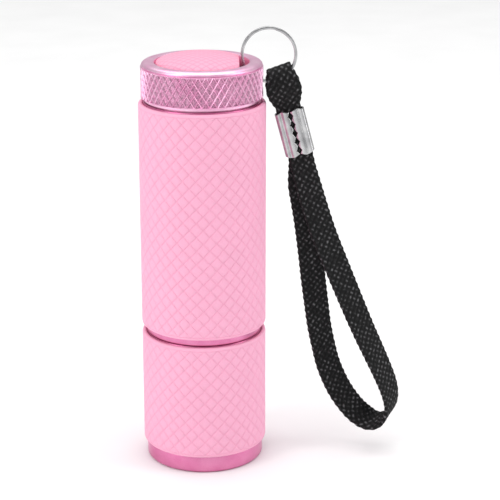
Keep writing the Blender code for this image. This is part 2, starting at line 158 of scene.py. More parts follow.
def apply_all(piece):
    take(piece)
    for mod in list(piece.modifiers):
        bpy.ops.object.modifier_apply(modifier=mod.name)


def soften(piece, width=0.15, segments=2, angle=28.0, smooth=32.0):
    """Round the sharp edges with a bevel, then shade smoothly across them."""
    if width:
        mod = piece.modifiers.new("round_edges", "BEVEL")
        mod.width = width * MM
        mod.segments = segments
        mod.limit_method = "ANGLE"
        mod.angle_limit = math.radians(angle)
    apply_all(piece)
    bpy.ops.object.shade_smooth_by_angle(angle=math.radians(smooth))


def turned(name, outline, sides=96, tube=True):
    """Walk a ring along an outline of (radius, height) points and close it."""
    piece = start_ring(name, *outline[0], sides)
    for before, after in zip(outline, outline[1:]):
        next_ring(before, after)
    close_ends(piece, tube)
    face_outwards()
    return piece


print("lathe helpers ready")

# %% [markdown]
# ## Screw threads
# The head and the tail cap screw on with a one millimetre pitch. A real thread is a helix, so
# plain rings would not do. We walk the ring up in small steps and then move each point in or
# out by its place on the helix, which raises the ridge from the same closed mesh. The nut and
# the bolt use one formula, so their ridges lie between each other and stay there as they turn.

# %% Thread helper
PITCH = 1.0


def thread_steps(radius, low, high):
    """Outline points close enough together to carry a thread."""
    count = round(abs(high - low) / (PITCH / 6))
    return [(radius, low + (high - low) * k / count) for k in range(count + 1)]


def raise_thread(piece, radius, low, high, height):
    """Raise a helical ridge on the wall at one radius; a negative height raises it inwards."""
    moved = 0
    for vert in piece.data.vertices:
        x, y, z = (c / MM for c in vert.co)
        flat = math.hypot(x, y)
        if abs(flat - radius) > 0.03 or not low - 0.01 <= z <= high + 0.01:
            continue
        turn = z / PITCH - math.atan2(y, x) / math.tau
        wave = 0.5 + 0.5 * math.cos(math.tau * turn)
        wave = wave if height > 0 else 1.0 - wave
        fade = max(0.0, min(1.0, (z - low) / PITCH, (high - z) / PITCH))
        grow = (flat + height * wave * fade) / flat
        vert.co.x *= grow
        vert.co.y *= grow
        moved += 1
    print(f"{piece.name}: {moved} thread points")


print("thread pitch:", PITCH, "mm")

# %% [markdown]
# ## Diamond patterns
# Both rubber sleeves carry a moulded diamond pattern, and the tail cap is knurled with a finer
# one. Poking the faces of a plain grid and dissolving its own edges turns it into diamonds;
# insetting each diamond then leaves a narrow border between neighbours, which becomes the
# groove or the ridge. Working on a closed ring means that there is no seam to hide.

# %% Diamond helper
def diamond_wall(name, radius, low, high, columns, rows, border):
    """A tube of inset diamonds; the attribute lift is 1 on each diamond and 0 between them."""
    piece = start_ring(name, radius, low, columns)
    tall = (high - low) / rows
    for row in range(rows):
        next_ring((radius, low + tall * row), (radius, low + tall * (row + 1)))
    bpy.ops.mesh.select_all(action="SELECT")
    bpy.ops.mesh.select_mode(type="FACE")
    bpy.ops.mesh.select_all(action="SELECT")
    bpy.ops.mesh.poke()
    bpy.ops.mesh.select_mode(type="EDGE")
    bpy.ops.mesh.select_all(action="DESELECT")
    bm = bmesh.from_edit_mesh(piece.data)
    for edge in bm.edges:
        a, b = (v.co for v in edge.verts)
        level = abs(a.z - b.z) < 1e-7
        upright = (a.xy - b.xy).length < 1e-7
        edge.select_set((level or upright) and len(edge.link_faces) == 2)
    bmesh.update_edit_mesh(piece.data)
    bpy.ops.mesh.dissolve_edges(use_verts=False)
    bpy.ops.mesh.select_mode(type="FACE")
    bpy.ops.mesh.select_all(action="SELECT")
    bpy.ops.mesh.inset(thickness=border * MM, use_individual=True)
    bm = bmesh.from_edit_mesh(piece.data)
    lift = bm.verts.layers.float.new("lift")
    for vert in bm.verts:
        vert[lift] = 1.0 if vert.select else 0.0
    bmesh.update_edit_mesh(piece.data)
    bpy.ops.mesh.select_all(action="SELECT")
    bpy.ops.mesh.subdivide(number_cuts=2)
    bpy.ops.object.mode_set(mode="OBJECT")
    return piece


def settle_diamonds(piece, radius, depth, ends):
    """Put every point on its radius, depth lower where lift is 0. Ends is the open rings' lift."""
    bm = bmesh.new()
    bm.from_mesh(piece.data)
    lift = bm.verts.layers.float["lift"]
    for vert in bm.verts:
        if vert.is_boundary:
            vert[lift] = ends
    for vert in bm.verts:
        vert[lift] = vert[lift] ** 2 * (3.0 - 2.0 * vert[lift])
    mean = {
        v: sum(e.other_vert(v)[lift] for e in v.link_edges) / len(v.link_edges)
        for v in bm.verts
        if not v.is_boundary
    }
    for vert, value in mean.items():
        vert[lift] = 0.5 * vert[lift] + 0.5 * value
    for vert in bm.verts:
        want = (radius - depth * (1.0 - vert[lift])) * MM
        flat = vert.co.xy.length
        vert.co.x *= want / flat
        vert.co.y *= want / flat
    bm.to_mesh(piece.data)
    bm.free()


def carry_on(piece, height, outline):
    """Select the open ring at one height and walk it along an outline."""
    take(piece)
    bpy.ops.object.mode_set(mode="EDIT")
    bpy.ops.mesh.select_mode(type="EDGE")
    open_edges(piece, height)
    for before, after in zip(outline, outline[1:]):
        next_ring(before, after)


print("pattern helpers ready")

# %% [markdown]
# ## Shader maths as Python
# A finish is built from nodes, but sums of nodes are hard to read. This small class wraps a
# socket so that `1 - groove * 0.4` adds the Math nodes for us, and one method adds any other
# node from its type, its settings and its inputs.

# %% Signal and Finish
def paint(red, green, blue):
    """A colour from a colour picker, 0 to 255, as the linear numbers that a shader takes."""
    return tuple(
        c / 255 / 12.92 if c <= 10 else ((c / 255 + 0.055) / 1.055) ** 2.4
        for c in (red, green, blue)
    )


class Signal:
    """A number that changes over the surface."""

    def __init__(self, tree, socket):
        self.tree, self.socket = tree, socket

    def _maths(self, operation, first, second):
        node = self.tree.nodes.new("ShaderNodeMath")
        node.operation = operation
        for slot, value in enumerate((first, second)):
            if isinstance(value, Signal):
                self.tree.links.new(value.socket, node.inputs[slot])
            else:
                node.inputs[slot].default_value = value
        return Signal(self.tree, node.outputs[0])

    def __add__(self, other):
        return self._maths("ADD", self, other)

    __radd__ = __add__

    def __sub__(self, other):
        return self._maths("SUBTRACT", self, other)

    def __rsub__(self, other):
        return self._maths("SUBTRACT", other, self)

    def __mul__(self, other):
        return self._maths("MULTIPLY", self, other)

    __rmul__ = __mul__

    def __pow__(self, other):
        return self._maths("POWER", self, other)

    def at_most(self, other):
        return self._maths("MINIMUM", self, other)

    def wave(self):
        return self._maths("SINE", self, 0.0)


class Finish:
    """One material with its Principled shader."""

    def __init__(self, name, rough=0.5, metal=0.0, **fixed):
        self.material = bpy.data.materials.new(name)
        self.material.use_nodes = True
        self.tree = self.material.node_tree
        self.shader = next(n for n in self.tree.nodes if n.type == "BSDF_PRINCIPLED")
        self.shader.inputs["Roughness"].default_value = rough
        self.shader.inputs["Metallic"].default_value = metal
        for socket, value in fixed.items():
            self.shader.inputs[socket.replace("_", " ")].default_value = value

    def add(self, kind, settings=None, inputs=None):
        """Any node: its settings are set first, then its sockets."""
        node = self.tree.nodes.new("ShaderNode" + kind)
        for key, value in (settings or {}).items():
            if key == "stops":
                while len(node.color_ramp.elements) < len(value):
                    node.color_ramp.elements.new(0.5)
                for stop, (place, colour) in zip(node.color_ramp.elements, value):
                    stop.position, stop.color = place, (*colour, 1.0)
            else:
                setattr(node, key, value)
        for key, value in (inputs or {}).items():
            if hasattr(value, "tree"):
                self.tree.links.new(value.socket, node.inputs[key])
            elif isinstance(value, bpy.types.NodeSocket):
                self.tree.links.new(value, node.inputs[key])
            else:
                node.inputs[key].default_value = value
        return node

    def signal(self, node, output="Fac"):
        return Signal(self.tree, node.outputs[output])

    def place(self, scale=(1, 1, 1)):
        """Object coordinates in millimetres, stretched by a scale."""
        coords = self.add("TexCoord")
        mapping = self.add(
            "Mapping",
            inputs={"Vector": coords.outputs["Object"], "Scale": tuple(s / MM for s in scale)},
        )
        return mapping.outputs["Vector"]

    def noise(self, size, detail=3.0, scale=(1, 1, 1)):
        """Noise with lumps of about one size in millimetres, from 0 to 1."""
        node = self.add(
            "TexNoise",
            inputs={"Vector": self.place(scale), "Scale": 1.0 / size, "Detail": detail},
        )
        return self.signal(node)

    def ramp(self, factor, stops):
        return self.add("ValToRGB", {"stops": stops}, {"Fac": factor}).outputs["Color"]

    def mix(self, factor, first, second):
        one, two = (
            shade if isinstance(shade, bpy.types.NodeSocket) else (*shade, 1.0)
            for shade in (first, second)
        )
        return self.add("Mix", {"data_type": "RGBA"}, {0: factor, 6: one, 7: two}).outputs[2]

    def between(self, value, low, high):
        """0 at low and 1 at high, clamped."""
        node = self.add(
            "MapRange", {"clamp": True},
            {"Value": value, "From Min": low, "From Max": high},
        )
        return self.signal(node, "Result")

    def feed(self, socket, value):
        target = self.shader.inputs[socket]
        self.tree.links.new(value.socket if isinstance(value, Signal) else value, target)

    def bump(self, height, depth, strength=1.0):
        """Tilt the surface as if height, from 0 to 1, stood that many millimetres proud."""
        node = self.add(
            "Bump",
            inputs={"Height": height, "Distance": depth * MM, "Strength": strength},
        )
        self.feed("Normal", node.outputs["Normal"])

    def on(self, *pieces):
        for piece in pieces:
            piece.data.materials.clear()
            piece.data.materials.append(self.material)
        return self


print("shader helpers ready")

# %% [markdown]
# ## Placing a piece
# Each finished piece keeps its object at the origin, rides on its body, and stands for the CAD
# nodes that it shows in more detail.

# %% Placing helper
def fit_piece(piece, finish, body, *nodes):
    object_mode()
    if finish:
        finish.on(piece)
    if nodes:
        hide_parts(*nodes)
    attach(piece, body)
    print(f"{piece.name}: {len(piece.data.polygons)} faces on {body}")


# %% [markdown]
# ## The wrist strap
# The strap is one length of flat black braid, about 5.7 mm wide. It goes up from the ferrule,
# over the split ring, back down through the ferrule, and on round the wrist loop until its other
# end meets the first one inside the ferrule. A flat braid cannot bend sideways, so at the
# bottom of the loop it rolls over through half a turn. We list the route, give each
# point the turn of the braid's face, and sweep a flat section with woven strands along it.

# %% Route of the strap
FERRULE_TOP = Vector((18.35, 0.0, 77.6))
FERRULE_END = Vector((20.75, 0.0, 68.55))
FERRULE_LENGTH = (FERRULE_END - FERRULE_TOP).length
DOWN_STRAP = (FERRULE_END - FERRULE_TOP).normalized()
LAYER_Y = 0.56
WRIST_LOOP = [
    (21.6, -0.72, 65.0, 0), (23.0, -1.1, 60.1, 3), (24.7, -1.6, 54.6, 8), (26.3, -2.0, 50.0, 12),
    (29.3, -2.4, 42.5, 18), (32.2, -2.5, 35.4, 24), (34.9, -2.5, 29.0, 30), (37.2, -2.4, 23.9, 35),
    (39.1, -2.1, 19.6, 40), (40.5, -1.8, 16.1, 44), (41.3, -1.5, 13.2, 50), (41.5, -1.2, 10.7, 58),
    (41.0, -0.8, 8.5, 70), (39.8, -0.2, 6.9, 88), (38.3, 0.4, 6.2, 112), (36.3, 0.9, 6.7, 142),
    (34.1, 1.2, 8.3, 160), (31.8, 1.5, 11.0, 166), (29.6, 1.8, 14.6, 164), (27.6, 1.9, 19.4, 160),
    (26.3, 2.0, 24.5, 158), (25.4, 2.0, 29.0, 160), (24.8, 2.0, 33.4, 163), (24.0, 1.9, 39.6, 167),
    (23.3, 1.7, 45.9, 170), (22.4, 1.4, 52.8, 173), (21.6, 1.15, 57.7, 176), (21.0, 0.9, 61.4, 178),
    (21.0, 0.68, 65.4, 180),
]
RING_LOOP = [
    (1.9, 0.64, 0), (3.4, 1.2, 1), (5.3, 1.95, 2), (7.4, 2.2, 3), (9.05, 1.4, 5), (9.65, 0, 5),
]
LOOP_DRIFT = 0.022


def crimped(along, side):
    """A point inside the ferrule, in the front or the back layer."""
    return FERRULE_TOP + DOWN_STRAP * along + Vector((0, LAYER_Y * side, 0))


def strap_route():
    """(point, width direction) pairs from one crimped end to the other, in millimetres."""
    wide = Vector((DOWN_STRAP.z, 0, -DOWN_STRAP.x))
    route = [(crimped(s, 1), wide) for s in (4.5, 2.5, -0.3)]
    over = RING_LOOP + [(s, -y, lean) for s, y, lean in reversed(RING_LOOP[:-1])]
    for s, y, lean in over:
        tilt = Matrix.Rotation(math.radians(-lean), 3, "Y")
        aside = Vector((LOOP_DRIFT * s, y, 0))
        route.append((FERRULE_TOP - DOWN_STRAP * s + aside, tilt @ wide))
    for s in (-0.3, 2.5, FERRULE_LENGTH / 2, FERRULE_LENGTH - 2.5, FERRULE_LENGTH + 0.5):
        route.append((crimped(s, -1), wide))
    places = [Vector(row[:3]) for row in WRIST_LOOP]
    for i, (place, row) in enumerate(zip(places, WRIST_LOOP)):
        before = places[i - 1] if i else route[-1][0]
        after = places[i + 1] if i + 1 < len(places) else FERRULE_END + Vector((0, LAYER_Y, 0))
        heading = (after - before).normalized()
        outward = Vector((-heading.z, 0, heading.x)).normalized()
        turn = math.radians(row[3])
        face = Vector((0, -1, 0)) * math.cos(turn) + outward * math.sin(turn)
        route.append((place, heading.cross(face).normalized()))
    for s in (FERRULE_LENGTH + 0.5, FERRULE_LENGTH - 2.2, 4.9):
        route.append((crimped(s, 1), wide))
    return route


def smooth_step(a, b, c, d, t):
    """Catmull-Rom: a smooth curve from b to c that heads as a and d say."""
    return (
        b * 2 + (c - a) * t + (a * 2 - b * 5 + c * 4 - d) * t * t + (b * 3 - a - c * 3 + d) * t**3
    ) * 0.5


def even_stations(route, spacing):
    """Resample the route at an even spacing: (point, width direction, distance)."""
    fine, last = [], len(route) - 1
    for i in range(last):
        four = [route[max(0, min(last, i + k))] for k in (-1, 0, 1, 2)]
        for k in range(16):
            t = k / 16
            fine.append((smooth_step(*(p[0] for p in four), t), four[1][1].lerp(four[2][1], t)))
    fine.append(route[-1])
    runs = [0.0]
    for a, b in zip(fine, fine[1:]):
        runs.append(runs[-1] + (b[0] - a[0]).length)
    count, out, j = round(runs[-1] / spacing), [], 0
    for k in range(count + 1):
        want = runs[-1] * k / count
        while j < len(runs) - 2 and runs[j + 1] < want:
            j += 1
        t = (want - runs[j]) / (runs[j + 1] - runs[j])
        out.append((fine[j][0].lerp(fine[j + 1][0], t), fine[j][1].lerp(fine[j + 1][1], t), want))
    return out


stations = even_stations(strap_route(), 0.3)
STRAP_LENGTH = stations[-1][2]
print(f"strap: {len(stations)} stations, {STRAP_LENGTH:.1f} mm")

# %% [markdown]
# The braid is two families of strands that cross at an angle, each strand going over one and
# under the next. Across the flat face we raise each point by the round back of whichever strand
# is on top there, which gives the little lozenges of a woven cord without hundreds of parts.

# %% Sweep the braid
STRAP_WIDTH = 5.7
STRAP_CRIMPED = 5.4
STRAP_THICK = 0.9
STRAND = 1.5
ACROSS = 30
EDGE_SCALLOP = 0.08
FOLD_START, FOLD_LENGTH, FOLD_SPREAD = 0.8, 8.6, 1.15


def weave_height(u, v):
    """0 in the valleys and 1 on the back of the strand on top, at u across and v along."""
    first, second = (v + u * 1.07) / STRAND, (v - u * 1.07) / STRAND
    over = (math.floor(first) + math.floor(second)) % 2 == 0
    back, length = (second % 1.0, first % 1.0) if over else (first % 1.0, second % 1.0)
    return math.sin(math.pi * back) ** 0.6 * (0.75 + 0.25 * math.sin(math.pi * length))


def strap_section(half_w, half_t, run):
    """Points round one section of the braid: (across, out of the face, height of the strand)."""
    points = []
    for side in (1, -1):
        for k in range(ACROSS):
            t = -1.0 + 2.0 * (k + 0.5) / ACROSS
            across = half_w * t * side
            edge = min(1.0, (1.0 - abs(t)) * half_w / 0.45)
            crown = half_t * math.sqrt(max(0.0, 1.0 - (1.0 - edge) ** 2))
            height = weave_height(across, run * side)
            weave = 0.2 * (height - 0.85) * edge
            points.append((across, side * (crown * 0.99 + weave), height))
    return points


def make_strap():
    mesh = bpy.data.meshes.new("wrist_strap")
    bm = bmesh.new()
    uv = bm.loops.layers.uv.new("braid")
    strand = bm.verts.layers.float.new("strand")
    rows = []
    for i, (place, wide, run) in enumerate(stations):
        before, after = stations[max(0, i - 1)][0], stations[min(len(stations) - 1, i + 1)][0]
        heading = (after - before).normalized()
        wide = (wide - heading * wide.dot(heading)).normalized()
        face = wide.cross(heading)
        free = min(1.0, max(0.0, ((place - FERRULE_TOP).dot(DOWN_STRAP) - 11.5) / 6.0))
        half_w = (STRAP_CRIMPED + (STRAP_WIDTH - STRAP_CRIMPED) * free) / 2
        above = (FERRULE_TOP - place).dot(DOWN_STRAP)
        in_fold = min(1.0, max(0.0, above - FOLD_START) / FOLD_LENGTH)
        half_w += FOLD_SPREAD * math.sin(math.pi * in_fold) ** 1.5
        half_w += EDGE_SCALLOP * math.sin(run * math.tau / STRAND)
        row = []
        for across, out, height in strap_section(half_w, STRAP_THICK / 2, run):
            vert = bm.verts.new((place + wide * across + face * out) * MM)
            vert[strand] = height
            row.append(vert)
        rows.append((row, run))
    total = len(rows[0][0])
    for (low, run_low), (high, run_high) in zip(rows, rows[1:]):
        for k in range(total):
            m = (k + 1) % total
            quad = bm.faces.new((low[k], low[m], high[m], high[k]))
            for loop, (where, run) in zip(
                quad.loops, ((k, run_low), (k + 1, run_low), (k + 1, run_high), (k, run_high))
            ):
                loop[uv].uv = (where / total, run / 10.0)
    bm.faces.new(rows[0][0])
    bm.faces.new(list(reversed(rows[-1][0])))
    bmesh.ops.recalc_face_normals(bm, faces=bm.faces)
    bm.to_mesh(mesh)
    bm.free()
    strap = bpy.data.objects.new("wrist_strap", mesh)
    bpy.context.scene.collection.objects.link(strap)
    mesh.shade_smooth()
    return strap


wrist_strap = make_strap()
print("strap faces:", len(wrist_strap.data.polygons))

# %% [markdown]
# Nylon braid is black but never flat. Its colour carries a painted highlight on the back of each
# strand, broken by noise into small grey flecks, and painted shade keeps the valleys between
# strands darker. Noise at two sizes gives the flecks and a fibre bump.

# %% Finish of the braid
braid = Finish("black_nylon_braid", rough=0.62, Specular_IOR_Level=0.22)
height = braid.signal(braid.add("Attribute", {"attribute_name": "strand"}))
fleck = braid.between(braid.noise(0.9, detail=3.0), 0.36, 0.64)
fibre = braid.noise(0.12, detail=2.0, scale=(1.0, 1.0, 0.35))
# shine is a painted highlight: strand backs and noise flecks lighten the base colour, and its low
# end is painted shade in the valleys
shine = height ** 3.0 * (fleck * 0.6 + 0.3) + fibre * 0.2
braid.feed(
    "Base Color",
    braid.ramp(
        shine,
        [(0.15, paint(13, 13, 14)), (0.45, paint(30, 30, 31)), (0.85, paint(98, 98, 100))],
    ),
)
braid.feed("Roughness", 0.8 - shine * 0.35)
braid.bump(fibre * 0.5 + height * 0.5, 0.08, 0.8)
fit_piece(wrist_strap, braid, "strap", "strap")

# %% [markdown]
# ## Crimp ferrule
# A strip of steel is rolled round both layers of the strap until its toothed edges meet down the
# front, so it looks like a B from the end. We start from a flat grid, because that is what the
# strip is, cut its long edges into teeth, roll it along a B-shaped outline, and only then give
# the sheet its thickness.

# %% Roll the ferrule
B_OUTLINE = [
    (0.0, -1.26), (0.25, -1.44), (0.7, -1.68), (1.15, -1.70), (1.6, -1.50), (1.95, -1.30),
    (2.3, -1.42), (2.75, -1.30), (3.08, -0.86),
    (3.19, -0.3), (3.19, 0.4), (3.02, 1.0), (2.5, 1.42), (1.6, 1.53), (0.8, 1.50), (0.0, 1.47),
]
TEETH = 5
SEAM_GAP, TOOTH_GAP, TOOTH_SHAPE = 0.006, 0.052, 0.9
LOBE = 0.85
SHEET = 0.30


def b_path():
    """The outline from the seam, round the back and to the seam again, evenly spaced."""
    half = [Vector(p) for p in B_OUTLINE]
    whole = half + [Vector((-p.x, p.y)) for p in reversed(half[:-1])]
    fine = []
    for i in range(len(whole) - 1):
        four = [whole[max(0, min(len(whole) - 1, i + k))] for k in (-1, 0, 1, 2)]
        fine += [smooth_step(*four, k / 8) for k in range(8)]
    return fine + [whole[-1]]


def point_on(path, share):
    place = share * (len(path) - 1)
    low = min(len(path) - 2, int(place))
    return path[low].lerp(path[low + 1], place - low)


def roll_ferrule():
    object_mode()
    bpy.ops.mesh.primitive_grid_add(x_subdivisions=72, y_subdivisions=50, size=1.0)
    ferrule = bpy.context.object
    ferrule.name = ferrule.data.name = "crimp_ferrule"
    path = b_path()
    wide = Vector((-DOWN_STRAP.z, 0, DOWN_STRAP.x))
    for vert in ferrule.data.vertices:
        around, along = vert.co.x + 0.5, vert.co.y + 0.5
        tooth = abs(((along * TEETH) % 1.0) * 2.0 - 1.0)
        gap = SEAM_GAP + TOOTH_GAP * (1.0 - tooth) ** TOOTH_SHAPE
        share = gap + (1.0 - 2.0 * gap) * around
        p = point_on(path, share)
        lobe = LOBE * math.sin(math.pi * min(1.0, abs(p.x) / 3.2)) ** 2
        run = (along - 0.5) * (FERRULE_LENGTH + lobe) + FERRULE_LENGTH / 2
        place = FERRULE_TOP + DOWN_STRAP * run + wide * p.x + Vector((0, p.y, 0))
        vert.co = place * MM
    bpy.ops.object.mode_set(mode="EDIT")
    bpy.ops.mesh.select_all(action="SELECT")
    bpy.ops.mesh.normals_make_consistent(inside=False)
    bpy.ops.object.mode_set(mode="OBJECT")
    sheet = ferrule.modifiers.new("sheet_thickness", "SOLIDIFY")
    sheet.thickness = SHEET * MM
    sheet.offset = -1.0
    edge = ferrule.modifiers.new("rounded_edges", "BEVEL")
    edge.width, edge.segments, edge.angle_limit = 0.06 * MM, 2, math.radians(50.0)
    apply_all(ferrule)
    bpy.ops.object.shade_smooth_by_angle(angle=math.radians(40.0))
    return ferrule


crimp_ferrule = roll_ferrule()
steel = Finish("bright_plated_steel", metal=1.0, rough=0.24)
wear = steel.noise(2.2, detail=5.0)
steel_shades = [(0.3, (0.36, 0.36, 0.37)), (0.55, (0.52, 0.52, 0.53)), (0.75, (0.66, 0.66, 0.66))]
steel.feed("Base Color", steel.ramp(wear, steel_shades))
steel.feed("Roughness", 0.12 + wear * 0.2)
steel.bump(steel.noise(0.5, detail=4.0, scale=(1, 1, 0.15)), 0.02, 0.5)
fit_piece(crimp_ferrule, steel, "strap", "strap_ferrule")
STRAP_LENGTH * MM
[tuple(p * MM) for p, _, _ in stations[::2]] + [tuple(stations[-1][0] * MM)]

# %% [markdown]
# ## Split ring
# A split ring is flat spring wire wound almost twice round. The Screw modifier is made for this:
# it carries a small rounded rectangle round the axis and lets it climb a little with each turn,
# so the two turns lie side by side and the ends show where the ring opens.

# %% Winding helper
def wind(piece, turn, rise, steps):
    """Carry a closed section round Z with the Screw modifier, then close both ends."""
    sides = len(piece.data.vertices)
    mod = piece.modifiers.new("winding", "SCREW")
    mod.axis = "Z"
    mod.angle = math.radians(turn)
    mod.screw_offset = rise * MM
    mod.steps = mod.render_steps = steps
    mod.use_merge_vertices = False
    apply_all(piece)
    bpy.ops.object.mode_set(mode="EDIT")
    bpy.ops.mesh.select_mode(type="EDGE")
    for first in (True, False):
        bpy.ops.mesh.select_all(action="DESELECT")
        bm = bmesh.from_edit_mesh(piece.data)
        for edge in bm.edges:
            if edge.is_boundary and (edge.verts[0].index < sides) == first:
                edge.select_set(True)
        bmesh.update_edit_mesh(piece.data)
        bpy.ops.mesh.edge_face_add()
    bpy.ops.object.mode_set(mode="OBJECT")


def point_outwards(piece):
    take(piece)
    bpy.ops.object.mode_set(mode="EDIT")
    face_outwards()


# %% Wind the ring
RING_CENTRE = Vector((14.05, 0.0, 89.7))
RING_R = 5.62
RING_TURN = 706.0
RING_STEP = 0.47
WIRE_ACROSS, WIRE_ALONG, WIRE_ROUND = 0.62, 0.45, 0.14


def wind_ring():
    object_mode()
    bpy.ops.mesh.primitive_plane_add(
        size=1.0, location=(RING_R * MM, 0, 0), rotation=(math.pi / 2, 0, 0)
    )
    ring = bpy.context.object
    ring.name = ring.data.name = "key_ring"
    ring.scale = (WIRE_ACROSS * MM, WIRE_ALONG * MM, 1.0)
    bpy.ops.object.transform_apply(location=True, rotation=True, scale=True)
    bpy.ops.object.mode_set(mode="EDIT")
    bpy.ops.mesh.select_all(action="SELECT")
    bpy.ops.mesh.bevel(offset=WIRE_ROUND * MM, segments=3, affect="VERTICES")
    bpy.ops.mesh.delete(type="ONLY_FACE")
    bpy.ops.object.mode_set(mode="OBJECT")
    rise = RING_STEP * RING_TURN / 360.0
    wind(ring, RING_TURN, rise, 220)
    stand = Matrix.Rotation(math.radians(-90.0), 4, "X")
    stand = stand @ Matrix.Translation((0, 0, -rise / 2 * MM))
    spin = Matrix.Rotation(math.radians(-75.0), 4, "Y")
    ring.data.transform(Matrix.Translation(RING_CENTRE * MM) @ spin @ stand)
    point_outwards(ring)
    bpy.ops.object.shade_smooth_by_angle(angle=math.radians(40.0))
    return ring


key_ring = wind_ring()
fit_piece(key_ring, steel, "ring", "split_ring")

# %% [markdown]
# ## Pink anodised aluminium
# The metal parts are turned aluminium, dyed pink while they are anodised. The lathe leaves faint
# rings, the dye is slightly uneven, and the tinted oxide is satin rather than polished.

# %% Anodised finish
def anodised(name, deep, pale, rough):
    """Pink metal whose shade drifts between deep and pale, with turning marks."""
    metal = Finish(name, metal=0.92, rough=rough)
    drift = metal.noise(4.0, detail=4.0)
    marks = metal.noise(0.22, detail=3.0, scale=(0.02, 0.02, 1.0))
    speck = metal.noise(0.10, detail=2.0)
    metal.feed("Base Color", metal.ramp(drift * 0.6 + speck * 0.4, [(0.35, deep), (0.65, pale)]))
    metal.feed("Roughness", rough - 0.05 + marks * 0.1 + speck * 0.06)
    metal.bump(marks * 0.6 + speck * 0.4, 0.012, 0.5)
    return metal


turned_pink = anodised("turned_pink_aluminium", (0.67, 0.18, 0.37), (0.78, 0.29, 0.49), 0.28)
print("anodised finish ready")

# %% [markdown]
# ## Head housing
# The head is a short tube with a lip that holds the lens, a recess for the rubber sleeve, and an
# internal thread. Only the bezel rim shows below the sleeve, but the whole part is there for when
# the head is unscrewed.

# %% Turn the head housing
BORE_R = 11.9
ROOT_R = 11.5
RIDGE = 0.3

head_body = turned(
    "head_body",
    [(10.85, 0.0), (12.35, 0.0), (12.77, 0.42), (12.77, 3.7), (12.5, 3.7), (12.5, 29.13),
     (12.38, 29.27), (BORE_R + 0.1, 29.27), (BORE_R, 29.13)]
    + thread_steps(BORE_R, 28.7, 21.8)
    + [(BORE_R, 17.6), (11.45, 17.3), (11.45, 1.6), (10.3, 1.6), (10.3, 0.55)],
)
soften(head_body, 0.10, 2)
raise_thread(head_body, BORE_R, 21.9, 28.6, -RIDGE)
fit_piece(head_body, turned_pink, "head", "head_housing")

# %% [markdown]
# ## Barrel
# The barrel carries a thread at each end. Its front nose is turned down, grooved for an O-ring
# and threaded outside for the head; its tail is bored out and threaded inside for the cap. The
# narrow band between the two sleeves is bare metal.

# %% Turn the barrel
barrel_body = turned(
    "barrel_body",
    [(10.3, 19.3), (11.3, 19.3), (11.7, 19.7), (11.7, 20.4), (10.95, 20.4), (10.95, 21.5),
     (11.7, 21.5), (11.7, 21.9), (ROOT_R, 22.1)]
    + thread_steps(ROOT_R, 22.2, 28.8)
    + [(ROOT_R, 29.35), (12.3, 29.35), (12.5, 29.55), (12.5, 79.95), (12.35, 80.1),
       (BORE_R + 0.12, 80.1), (BORE_R, 79.98)]
    + thread_steps(BORE_R, 79.8, 70.4)
    + [(BORE_R, 69.9), (11.05, 69.4), (11.05, 23.3), (10.3, 23.3)],
)
soften(barrel_body, 0.10, 2)
raise_thread(barrel_body, ROOT_R, 22.2, 28.8, RIDGE)
raise_thread(barrel_body, BORE_R, 70.4, 79.8, -RIDGE)
fit_piece(barrel_body, turned_pink, "barrel", "barrel_tube")

# %% [markdown]
# ## Rubber sleeves
# Soft pink rubber sleeves cover the barrel and the head. Each is a tube with a plain border at
# both ends and a moulded field of shallow diamonds between them. We make the diamond field
# first, and then walk its open ends round the border and join them up the inner wall.

# %% Rubber finish
def pink_rubber(name, tint):
    """Matte rubber: pale on the diamonds, with painted shade in the grooves, and fine grain."""
    rubber = Finish(name, rough=0.6)
    groove = 1.0 - rubber.signal(rubber.add("Attribute", {"attribute_name": "lift"}))
    grain = rubber.noise(0.18, detail=3.0)
    patch = rubber.noise(9.0, detail=3.0)
    worn = tuple(c * 0.96 for c in tint)
    shadow = (tint[0] * 0.94, tint[1] * 0.76, tint[2] * 0.82)
    base = rubber.ramp(patch * 0.7 + grain * 0.3, [(0.3, tint), (0.7, worn)])
    # painted shade: the colour is mixed towards the shadow tint in the grooves
    rubber.feed("Base Color", rubber.mix(groove * 0.4, base, shadow))
    rubber.feed("Roughness", 0.58 + grain * 0.14 + groove * 0.1)
    rubber.bump(grain, 0.012, 0.6)
    return rubber


def sleeve(name, low, high, rows):
    """A sleeve between two heights, with diamonds between its plain borders."""
    outer, inner, deep, border, groove, columns = 13.5, 12.6, 0.13, 0.6, 0.17, 30
    bottom, top = low + border, high - border
    piece = diamond_wall(name, outer, bottom, top, columns, rows, groove)
    settle_diamonds(piece, outer, deep, 1.0)
    for edge, way in ((top, 1), (bottom, -1)):
        end = high if way > 0 else low
        carry_on(piece, edge, [
            (outer, edge), (outer, end - 0.55 * way), (outer - 0.08, end - 0.27 * way),
            (outer - 0.24, end - 0.08 * way), (outer - 0.45, end), (inner + 0.1, end),
            (inner, end - 0.1 * way),
        ])
    close_ends(piece, True)
    face_outwards()
    soften(piece, 0, smooth=50.0)
    return piece


rubber = pink_rubber("soft_pink_rubber", paint(252, 181, 210))
barrel_sleeve = sleeve("barrel_sleeve", 30.9, 79.9, 16)
fit_piece(barrel_sleeve, rubber, "barrel", "barrel_grip")
head_sleeve = sleeve("head_sleeve", 3.8, 29.15, 8)
fit_piece(head_sleeve, rubber, "head", "head_grip")

# %% [markdown]
# ## Tail cap
# The tail cap is knurled all round so that wet fingers can turn it. Knurling presses crossing
# ridges into the metal and leaves diamond pits between them, so the same diamond wall serves,
# turned inside out: the borders stand proud and the diamonds go in. Above it is a smooth rim
# round the button, and below it the threaded skirt.

# %% Turn and knurl the cap
KNURL_LOW, KNURL_HIGH, KNURL_R, PIT = 81.1, 87.45, 12.9, 0.34
KNURL_FIELD, KNURL_COLUMNS, KNURL_ROWS, KNURL_RIDGE = 7.65, 50, 3, 0.23


